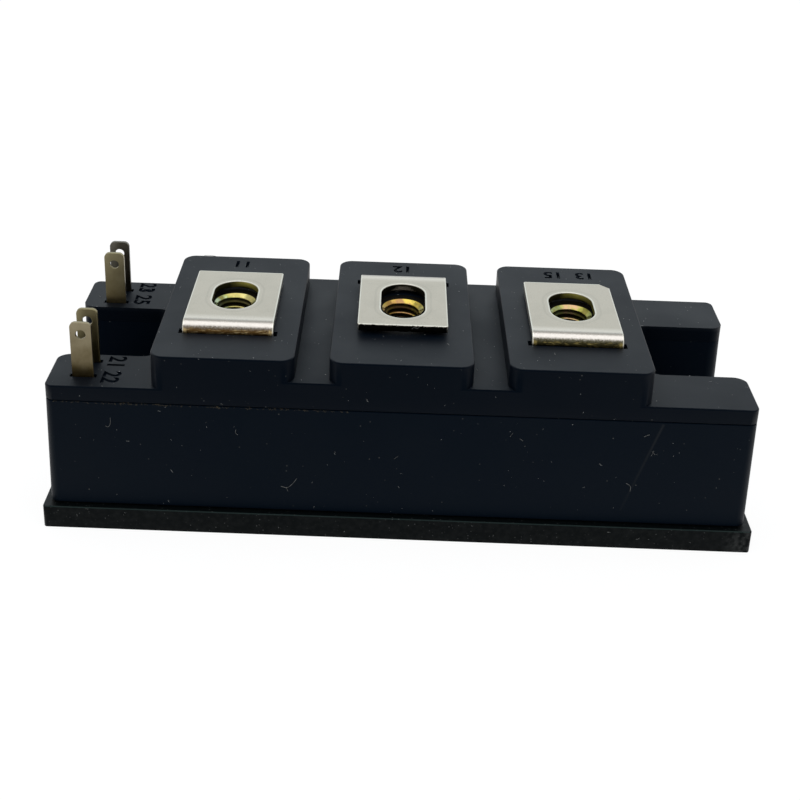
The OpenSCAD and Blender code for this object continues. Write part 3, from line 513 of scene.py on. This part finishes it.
    # Tones along the sheet, in millimetres from its middle: painted reflections, pale and then dim, before
    # the fold, silver painted lighter under the lamp's highlight on it, and painted shade below it
    toward = add(tree, "ShaderNodeMath", {0: axes.outputs["Y"], 1: -1.0 if folds_front else 1.0},
                 operation="MULTIPLY")
    tones = [(6.2, nickel), (7.1, painted_pale), (7.4, painted_pale), (7.75, painted_dim), (8.1, painted_dim), (8.3, highlight_silver), (9.05, highlight_silver)]
    tones += [(9.45, linear(shaded_turn)), (10.2, linear(worn_shaded_leg))]
    ragged = add(tree, "ShaderNodeMapRange", {
        0: grains.outputs[0], 1: 0.3, 2: 0.7, 3: -ragged_by, 4: ragged_by})
    level = add(tree, "ShaderNodeMath", {0: axes.outputs["Z"], 1: ragged.outputs[0]}, operation="ADD")
    along = add(tree, "ShaderNodeMath", {0: toward.outputs[0], 1: level.outputs[0]}, operation="SUBTRACT")
    share = add(tree, "ShaderNodeMapRange", {0: along.outputs[0], 1: tones[0][0] * MM, 2: tones[-1][0] * MM})
    fold = add(tree, "ShaderNodeValToRGB", {0: share.outputs[0]})
    stops = fold.color_ramp.elements
    stops[0].color = tones[0][1]
    stops[1].color = tones[-1][1]
    for at, tone in tones[1:-1]:
        stops.new((at - tones[0][0]) / (tones[-1][0] - tones[0][0])).color = tone
    near = add(tree, "ShaderNodeMapRange", {0: along.outputs[0], 1: plain_to, 2: tones[0][0] * MM})
    colour = add(tree, "ShaderNodeMix", {0: near.outputs[0], 6: colour.outputs[2], 7: fold.outputs[0]},
                 data_type="RGBA")
    # The worn leg, also painted darker as shade, with a brassy strip at each end
    below = add(tree, "ShaderNodeMapRange", {0: level.outputs[0], 1: -leg_below, 2: -leg_full})
    behind = add(tree, "ShaderNodeMapRange", {0: toward.outputs[0], 1: leg_from, 2: leg_from + worn_fade})
    worn_shaded = add(tree, "ShaderNodeMath", {0: behind.outputs[0], 1: below.outputs[0]}, operation="MULTIPLY")
    drawn = add(tree, "ShaderNodeMapping", {"Vector": place, "Scale": (0.2, 1.0, 1.0)})
    streaks = add(tree, "ShaderNodeTexNoise", {
        "Vector": drawn.outputs[0], "Scale": 1 / streak, "Detail": 3.0})
    spark = add(tree, "ShaderNodeMapRange", {0: streaks.outputs[0], 1: 0.5, 2: 0.72})
    half = add(tree, "ShaderNodeMath", {0: axes.outputs["X"]}, operation="ABSOLUTE")
    strip = add(tree, "ShaderNodeMapRange", {0: half.outputs[0], 1: strip_from, 2: strip_from + strip_fade})
    spark = add(tree, "ShaderNodeMath", {0: spark.outputs[0], 1: strip.outputs[0]}, operation="MAXIMUM")
    painted_light_and_wear = add(tree, "ShaderNodeMix", {0: spark.outputs[0], 6: linear(worn_shaded_leg), 7: brassy}, data_type="RGBA")
    colour = add(tree, "ShaderNodeMix", {0: worn_shaded.outputs[0], 6: colour.outputs[2], 7: painted_light_and_wear.outputs[2]},
                 data_type="RGBA")
    # Painted highlight along the outer edges of the top, also along the free end
    outer = add(tree, "ShaderNodeMath", {0: half.outputs[0], 1: half_w}, operation="SUBTRACT")
    ahead = add(tree, "ShaderNodeMath", {0: toward.outputs[0], 1: -1.0, 2: -plate_end},
                operation="MULTIPLY_ADD")
    outer = add(tree, "ShaderNodeMath", {0: outer.outputs[0], 1: ahead.outputs[0]}, operation="MAXIMUM")
    outer = add(tree, "ShaderNodeMapRange", {
        0: outer.outputs[0], 1: -edge_light_from, 2: -edge_light_full, 3: 0.0, 4: edge_light_share})
    colour = add(tree, "ShaderNodeMix", {0: outer.outputs[0], 6: colour.outputs[2], 7: painted_highlight},
                 data_type="RGBA")
    # Painted shade: the underside and the sheared free end, which has no plating, are painted dark
    lower = add(tree, "ShaderNodeMapRange", {0: axes.outputs["Z"], 1: -0.93 * sheet, 2: -0.96 * sheet})
    flat_part = add(tree, "ShaderNodeMath", {0: toward.outputs[0], 1: fold_from}, operation="LESS_THAN")
    lower = add(tree, "ShaderNodeMath", {0: lower.outputs[0], 1: flat_part.outputs[0]},
                operation="MULTIPLY")
    colour = add(tree, "ShaderNodeMix", {0: lower.outputs[0], 6: colour.outputs[2], 7: painted_dark},
                 data_type="RGBA")
    dark_end = add(tree, "ShaderNodeMapRange", {0: toward.outputs[0], 1: -plate_end, 2: -plate_end - 0.03 * MM})
    under = add(tree, "ShaderNodeMapRange", {0: level.outputs[0], 1: -end_shade_from, 2: -end_shade_full})
    dark_end = add(tree, "ShaderNodeMath", {0: dark_end.outputs[0], 1: under.outputs[0]}, operation="MULTIPLY")
    colour = add(tree, "ShaderNodeMix", {0: dark_end.outputs[0], 6: colour.outputs[2], 7: painted_dark},
                 data_type="RGBA")
    rough = add(tree, "ShaderNodeMapRange", {0: grains.outputs[0], 1: 0.3, 2: 0.7, 3: 0.26, 4: 0.38})
    rough = add(tree, "ShaderNodeMix", {0: wall.outputs[0], 2: rough.outputs[0], 3: 0.6})
    bump = add(tree, "ShaderNodeBump", {"Strength": 0.8, "Distance": 0.016 * MM, "Height": grains.outputs[0]})
    surface(tree, shader, colour.outputs[2], rough.outputs[0], bump.outputs[0])
    return made


# After the slot's length and the fold's side come four colours: painted shade just past the fold's highlight,
# the worn leg painted darker, its brassy ends, and the slot's wall where its glint is painted
for side, slot_l, folds_front, *wear_and_shade in (
    ("left", 8.8, True, "#6f685f", "#4f3b20", "#a8946a", "#b4ab58"),
    ("middle", 10.7, False, "#6a655a", "#4d432a", "#84764a", "#28251a"),
    ("right", 8.8, True, "#595647", "#2d2a19", "#7d7042", "#a79f50"),
):
    plating = nickel_plate(f"nickel_plate_{side}", f"strap_{side}", slot_l, folds_front, *wear_and_shade)
    strap = softened(f"strap_{side}_plated", f"strap_{side}", 0.09 * MM)
    stand_in(strap, f"strap_{side}", plating)


# Control tabs: thin blades stamped from tinned brass, tarnished to khaki and darkened with painted shade,
# paler towards the tip.
# A push-on receptacle slides over each blade and snaps into the hole near its tip.

def tarnished_shaded_tin(name, tip_hex, foot_hex):
    """Dull tin over brass, tarnished and painted darker as shade, darkest at the foot where the blade leaves
    the lid.
    """
    cloud, grain, foot_below, wander = 2.2 * MM, 0.12 * MM, 4.4 * MM, 0.2
    foot_z, tip_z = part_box("terminal_lid")[1].z - foot_below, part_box("tab_front_outer")[1].z
    made, tree, shader = finish(name, Metallic=1.0)
    place = add(tree, "ShaderNodeTexCoord").outputs["Object"]
    height = add(tree, "ShaderNodeSeparateXYZ", {0: place}).outputs["Z"]
    clouds = add(tree, "ShaderNodeTexNoise", {"Vector": place, "Scale": 1 / cloud, "Detail": 3.0})
    grains = add(tree, "ShaderNodeTexNoise", {"Vector": place, "Scale": 1 / grain, "Detail": 2.0})
    rise = add(tree, "ShaderNodeMapRange", {0: height, 1: foot_z, 2: tip_z})
    drift = add(tree, "ShaderNodeMapRange", {0: clouds.outputs[0], 1: 0.3, 2: 0.7, 3: -wander, 4: wander})
    blend = add(tree, "ShaderNodeMath", {0: rise.outputs[0], 1: drift.outputs[0]}, operation="ADD",
                use_clamp=True)
    colour = add(tree, "ShaderNodeMix", {0: blend.outputs[0], 6: linear(foot_hex), 7: linear(tip_hex)},
                 data_type="RGBA")
    rough = add(tree, "ShaderNodeMapRange", {0: grains.outputs[0], 1: 0.3, 2: 0.7, 3: 0.3, 4: 0.42})
    bump = add(tree, "ShaderNodeBump", {"Strength": 0.3, "Distance": 0.005 * MM, "Height": grains.outputs[0]})
    surface(tree, shader, colour.outputs[2], rough.outputs[0], bump.outputs[0])
    return made


# Each blade has its own tones, painted lighter or darker as the light falls on it
for place, tip, foot in (
    ("front_outer", "#898069", "#53482e"),
    ("front_inner", "#827a5d", "#50492f"),
    ("rear_inner", "#8a8265", "#5e543a"),
    ("rear_outer", "#66635a", "#3d3b32"),
):
    blade = softened(f"tab_{place}_stamped", f"tab_{place}", 0.07 * MM)
    stand_in(blade, f"tab_{place}", tarnished_shaded_tin(f"tarnished_shaded_tin_{place}", tip, foot))


# Lid: the same black plastic, moulded with three terminal pedestals and pressed into the case.
# The terminals are numbered in sunken figures, which read the right way up from the rear and the left end.

def sunken_numbers(lid, level_figures):
    """Cuts plain figures into the lid. Each is (text, x, y, z, turn, height) in millimetres and degrees."""
    depth, boldness, weld, cap_share = 0.32 * MM, 0.085 * MM, 0.001 * MM, 0.72
    cutters = bmesh.new()
    for text, x, y, z, turn, height in level_figures:
        curve = bpy.data.curves.new("figures", "FONT")
        curve.body = text
        curve.size = height * MM / cap_share
        curve.extrude = depth
        curve.offset = boldness
        curve.align_x = "CENTER"
        curve.align_y = "CENTER"
        curve.resolution_u = 3
        written = placed("figures", curve)
        mesh = settled(written)
        spin = Matrix.Rotation(math.radians(turn), 4, "Z")
        mesh.transform(Matrix.Translation(Vector((x, y, z)) * MM) @ spin)
        cutters.from_mesh(mesh)
        bpy.data.objects.remove(written)
        bpy.data.curves.remove(curve)
        bpy.data.meshes.remove(mesh)
    bmesh.ops.remove_doubles(cutters, verts=cutters.verts, dist=weld)
    cutter = placed("figure_cutter", plain_mesh("figure_cutter", cutters))
    cut = lid.modifiers.new("figures", "BOOLEAN")
    cut.object = cutter
    cut.solver = "EXACT"
    apply_modifiers(lid)
    bpy.data.objects.remove(cutter)
    even_shading(lid)


pedestal_z, groove_z, ear_z = 25.75, 22.6, 21.0
lid = softened("terminal_lid_numbered", "terminal_lid", 0.15 * MM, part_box("case_frame")[1].z)
sunken_numbers(lid, [
    ("11", -23.5, 13.4, pedestal_z, 180, 2.1),
    ("12", -0.1, 13.5, pedestal_z, 180, 2.1),
    ("13  15", 24.1, 13.3, pedestal_z, 180, 2.1),
    ("21 22", -37.9, -11.1, ear_z, -90, 2.3),
    ("23 25", -37.9, 12.0, ear_z, -90, 2.3),
])
# The lid's body is a touch darker than the case's: painted shade on the same plastic
stand_in(lid, "terminal_lid", moulded_pbt("moulded_pbt_lid", "#030810"))


# Dust and lint: crumbs and short cotton fibres that have settled on the module in storage.
# They cling to the tops and the outer walls, thickest along the seam between the case and the lid.

def open_faces(pieces, keep):
    """A mesh of those faces of the pieces that keep(centre, normal) takes, in millimetres."""
    form = bmesh.new()
    for piece in pieces:
        form.from_mesh(piece.data)
    hidden = [face for face in form.faces if not keep(face.calc_center_median() / MM, face.normal)]
    bmesh.ops.delete(form, geom=hidden, context="FACES")
    return plain_mesh("open_faces", form)


def strewing():
    """A Geometry Nodes tree that strews one grain over a surface, each copy turned and sized by chance."""
    tree = bpy.data.node_groups.new("strewing", "GeometryNodeTree")
    for socket, kind in (
        ("Surface", "Geometry"),
        ("Grain", "Object"),
        ("Grains per square metre", "Float"),
        ("Smallest", "Float"),
        ("Largest", "Float"),
        ("Seed", "Int"),
        ("Material", "Material"),
    ):
        tree.interface.new_socket(socket, in_out="INPUT", socket_type=f"NodeSocket{kind}")
    tree.interface.new_socket("Strewn", in_out="OUTPUT", socket_type="NodeSocketGeometry")
    given = add(tree, "NodeGroupInput").outputs
    spots = add(tree, "GeometryNodeDistributePointsOnFaces", {
        "Mesh": given["Surface"], "Density": given["Grains per square metre"], "Seed": given["Seed"]})
    turn = add(tree, "FunctionNodeRandomValue", {2: 0.0, 3: 2 * math.pi, "Seed": given["Seed"]},
               data_type="FLOAT")
    spin = add(tree, "FunctionNodeAxisAngleToRotation", {"Axis": (0, 0, 1), "Angle": turn.outputs[1]})
    lie = add(tree, "FunctionNodeRotateRotation", {
        "Rotation": spots.outputs["Rotation"], "Rotate By": spin.outputs[0]}, rotation_space="LOCAL")
    size = add(tree, "FunctionNodeRandomValue", {2: given["Smallest"], 3: given["Largest"]},
               data_type="FLOAT")
    grain = add(tree, "GeometryNodeObjectInfo", {"Object": given["Grain"]})
    strewn = add(tree, "GeometryNodeInstanceOnPoints", {
        "Points": spots.outputs["Points"], "Instance": grain.outputs["Geometry"],
        "Rotation": lie.outputs[0], "Scale": size.outputs[1]})
    real = add(tree, "GeometryNodeRealizeInstances", {"Geometry": strewn.outputs[0]})
    done = add(tree, "GeometryNodeSetMaterial", {"Geometry": real.outputs[0], "Material": given["Material"]})
    add(tree, "NodeGroupOutput", {"Strewn": done.outputs[0]})
    return tree


def strew(name, bed, tree, **inputs):
    """A piece with the grains that the tree strews over a surface, riding on the module."""
    made = placed(name, bed)
    modifier = made.modifiers.new("strewing", "NODES")
    modifier.node_group = tree
    for item in tree.interface.items_tree:
        if item.in_out == "INPUT" and item.name in inputs:
            modifier[item.identifier] = inputs[item.name]
    apply_modifiers(made)
    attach(made, "root")
    return made


def crumb():
    """A lump of dust one unit across, flat where it lies."""
    uneven, flatness = 0.25, 0.6
    form = bmesh.new()
    bmesh.ops.create_icosphere(form, subdivisions=1, radius=0.5)
    for i, point in enumerate(form.verts):
        point.co *= 1 - uneven + uneven * math.sin(5 * i)
        point.co.z *= flatness
    return placed("crumb", plain_mesh("crumb", form))


def fibres(name, routes, radius, unit):
    """Round fibres along smooth routes of points, each in the unit given, as one mesh."""
    curve = bpy.data.curves.new(name, "CURVE")
    curve.dimensions = "3D"
    curve.bevel_depth = radius * unit
    curve.bevel_resolution = 1
    curve.resolution_u = 4
    curve.use_fill_caps = True
    for route in routes:
        spline = curve.splines.new("BEZIER")
        spline.bezier_points.add(len(route) - 1)
        for point, spot in zip(spline.bezier_points, route):
            point.co = Vector(spot) * unit
            point.handle_left_type = "AUTO"
            point.handle_right_type = "AUTO"
    drawn = placed(name, curve)
    mesh = settled(drawn)
    bpy.data.objects.remove(drawn)
    bpy.data.curves.remove(curve)
    return placed(name, mesh)


# Cosine of the angle by which a face may lean and still count as level or upright
facing = 0.95


def on_top(centre, normal):
    """True for the faces of the lid that dust settles on."""
    off = min(abs(centre.z - level) for level in (pedestal_z, groove_z, ear_z))
    return normal.z > facing and off < 0.02


def on_wall(centre, normal):
    """True for the outer walls."""
    long_wall_y, end_wall_x = 15.5, 45
    long_wall = abs(normal.y) > facing and abs(centre.y) > long_wall_y
    end_wall = abs(normal.x) > facing and abs(centre.x) > end_wall_x
    return long_wall or end_wall


strewer = strewing()
lint = mottled("cotton_lint", "#686a68", "#acaeac", 0.4, 0.9)
grain = crumb()
chalk = mottled("pale_dust", "#858786", "#b9bab8", 0.4, 0.9)
for name, bed, largest, material, density in (
    ("top_crumbs", open_faces([lid], on_top), 0.16, chalk, 1.1e5),
    ("wall_crumbs", open_faces([base, case, lid], on_wall), 0.13, lint, 5.0e4),
):
    strew(name, bed, strewer, Grain=grain, Seed=3, Smallest=0.03 * MM, Largest=largest * MM,
          Material=material, **{"Grains per square metre": density})
bpy.data.objects.remove(grain)
bent = ((-0.5, 0, 0.03), (-0.15, 0.12, 0.05), (0.2, -0.05, 0.05), (0.5, 0.15, 0.03))
grain = fibres("fibre", [bent], 0.035, 1.0)
bed = open_faces([base, case, lid], lambda c, n: on_top(c, n) or on_wall(c, n))
strew("lint_fibres", bed, strewer, Grain=grain, Seed=8, Smallest=0.15 * MM, Largest=0.5 * MM,
      Material=lint, **{"Grains per square metre": 1.0e4})
bpy.data.objects.remove(grain)

# Brown fluff from the packing has caught in the left half of the front seam
seam_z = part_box("case_frame")[1].z / MM
seam_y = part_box("terminal_lid")[0].y / MM
strip = bpy.data.meshes.new("seam_strip")
fluff_from, fluff_to, fluff_low = -45, -6, seam_z - 0.2
strip_ends = ((fluff_from, fluff_low), (fluff_to, fluff_low), (fluff_to, seam_z), (fluff_from, seam_z))
strip.from_pydata([Vector((x, seam_y, z)) * MM for x, z in strip_ends], [], [(0, 1, 2, 3)])
fluff = mottled("packing_fibre", "#2c261b", "#655a43", 0.3, 0.9)
grain = fibres("fibre", [((-0.5, 0, 0.03), (0, 0.2, 0.06), (0.5, -0.1, 0.03))], 0.045, 1.0)
strew("seam_fluff", strip, strewer, Grain=grain, Seed=5, Smallest=0.08 * MM, Largest=0.35 * MM,
      Material=fluff, **{"Grains per square metre": 2.2e7})
bpy.data.objects.remove(grain)


def on_front_wall(x, z):
    """The point of the case's leaning front wall at that place, just proud of it, in millimetres."""
    proud = 0.03
    low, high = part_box("case_frame")
    share = (z * MM - low.z) / (high.z - low.z)
    return (x, (low.y / MM) * (1 - share) + seam_y * share - proud, z)


wall_lint = (
    ((-37.5, 16.6), (-37.55, 15.7), (-37.85, 15.25), (-38.2, 15.4)),
    ((-21.2, 15.5), (-21.25, 15.05), (-20.95, 14.75)),
    ((-15.35, 7.2), (-14.55, 7.05), (-13.9, 7.55), (-13.25, 8.5)),
    ((-14.65, 7.05), (-14.4, 6.45)),
    ((31.5, 16.65), (31.85, 16.85), (32.2, 17.0)),
    ((32.75, 14.5), (33.2, 14.05)),
    ((33.0, 14.65), (32.7, 13.85)),
    ((29.85, 9.6), (30.45, 9.2), (30.5, 8.4)),
    ((14.65, 16.55), (14.3, 15.95)),
    ((15.6, 15.7), (16.0, 15.4)),
    ((-0.55, 12.0), (-0.05, 12.45)),
)
routes = [[on_front_wall(x, z) for x, z in route] for route in wall_lint]
# A thread on the raw edge of the middle terminal, and a sliver on the rear edge of the left pedestal
routes.append([(1.2, -7.54, 26.7), (1.5, -7.56, 26.95), (1.85, -7.56, 26.8), (2.2, -7.54, 27.0)])
routes.append([(-29.5, 15.85, 25.77), (-28.7, 15.92, 25.8), (-27.8, 15.75, 25.77)])
caught = fibres("lint_threads", routes, 0.028, MM)
caught.data.materials.append(mottled("dark_lint", "#3f403f", "#6a6b69", 0.4, 0.9))
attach(caught, "root")


# Studio: a white table that runs into a white room, with a softbox overhead and a cool one behind.
# The dark tops mirror the rear softbox, and the overhead one draws the bright line along each fold.

def plane(name, size_x, size_y, matrix):
    """A flat rectangle of that size, with its place in its mesh."""
    mesh = bpy.data.meshes.new(name)
    signs = ((-1, -1), (1, -1), (1, 1), (-1, 1))
    corners = [Vector((sx * size_x / 2, sy * size_y / 2, 0)) for sx, sy in signs]
    mesh.from_pydata([matrix @ corner for corner in corners], [], [(0, 1, 2, 3)])
    made = placed(name, mesh)
    return made


def shown_white(tree):
    """One for rays that draw the background: to the camera, in mirrors and through glass."""
    ray = add(tree, "ShaderNodeLightPath").outputs
    seen = add(tree, "ShaderNodeMath", {0: ray["Is Camera Ray"], 1: ray["Is Glossy Ray"]},
               operation="MAXIMUM")
    seen = add(tree, "ShaderNodeMath", {0: seen.outputs[0], 1: ray["Is Transmission Ray"]},
               operation="MAXIMUM")
    return seen.outputs[0]


def white_table():
    """Matt white, drawn as the background to the camera and to mirrors, with a faint shadow left in it."""
    made = bpy.data.materials.new("white_table")
    made.use_nodes = True
    tree = made.node_tree
    tree.nodes.clear()
    matt_white, drawn_share, drawn_level = 0.8, 0.85, 1.06
    share = add(tree, "ShaderNodeMath", {0: shown_white(tree), 1: drawn_share}, operation="MULTIPLY")
    matt = add(tree, "ShaderNodeBsdfDiffuse", {"Color": (matt_white, matt_white, matt_white, 1.0)})
    glow = add(tree, "ShaderNodeEmission", {"Color": (1.0, 1.0, 1.0, 1.0), "Strength": drawn_level})
    mix = add(tree, "ShaderNodeMixShader", {0: share.outputs[0], 1: matt.outputs[0], 2: glow.outputs[0]})
    add(tree, "ShaderNodeOutputMaterial", {"Surface": mix.outputs[0]})
    return made


table_w = 4.0
table = plane("table", table_w, table_w, Matrix.Translation((0, 0, cad_box[0].z)))
table.data.materials.append(white_table())

world = bpy.data.worlds.new("white_room")
bpy.context.scene.world = world
world.use_nodes = True
tree = world.node_tree
tree.nodes.clear()
soft_light, plain_white = 0.7, 1.0
fill = add(tree, "ShaderNodeMapRange", {0: shown_white(tree), 3: soft_light, 4: plain_white})
back = add(tree, "ShaderNodeBackground", {"Color": (1.0, 1.0, 1.0, 1.0), "Strength": fill.outputs[0]})
add(tree, "ShaderNodeOutputWorld", {"Surface": back.outputs[0]})

# Each softbox has its size in metres, its power in watts, its colour, its place and its lean in degrees
for name, size, energy, colour, spot, lean in (
    ("overhead_softbox", (1.0, 0.65), 2.8, (0.95, 1.0, 1.05), (0.0, -0.125, 0.75), 0),
    ("rear_softbox", (1.8, 0.6), 1.05, (0.7, 1.15, 1.35), (0.0, 1.1, 0.58), -62),
):
    lamp = bpy.data.lights.new(name, "AREA")
    lamp.shape = "RECTANGLE"
    lamp.size, lamp.size_y = size
    lamp.energy = energy
    lamp.color = colour
    softbox = placed(name, lamp)
    softbox.location = spot
    softbox.rotation_euler = Euler((math.radians(lean), 0, 0))


# Camera: it stands in front of the module at the photograph's height and looks a little down on it.
# The frame is shifted as the photograph's is, with the module above its middle.

camera = bpy.data.cameras.new("camera")
camera.lens = 61.8
camera.shift_x = 0.035
camera.shift_y = -0.2
camera.clip_start = 0.01
stand = placed("camera", camera)
stand.location = Vector((-1.958, -169.374, 108.989)) * MM
stand.rotation_euler = Euler((math.radians(66.69), math.radians(-1.506), math.radians(1.509)))
bpy.context.scene.camera = stand
bpy.context.scene.view_settings.view_transform = "Standard"
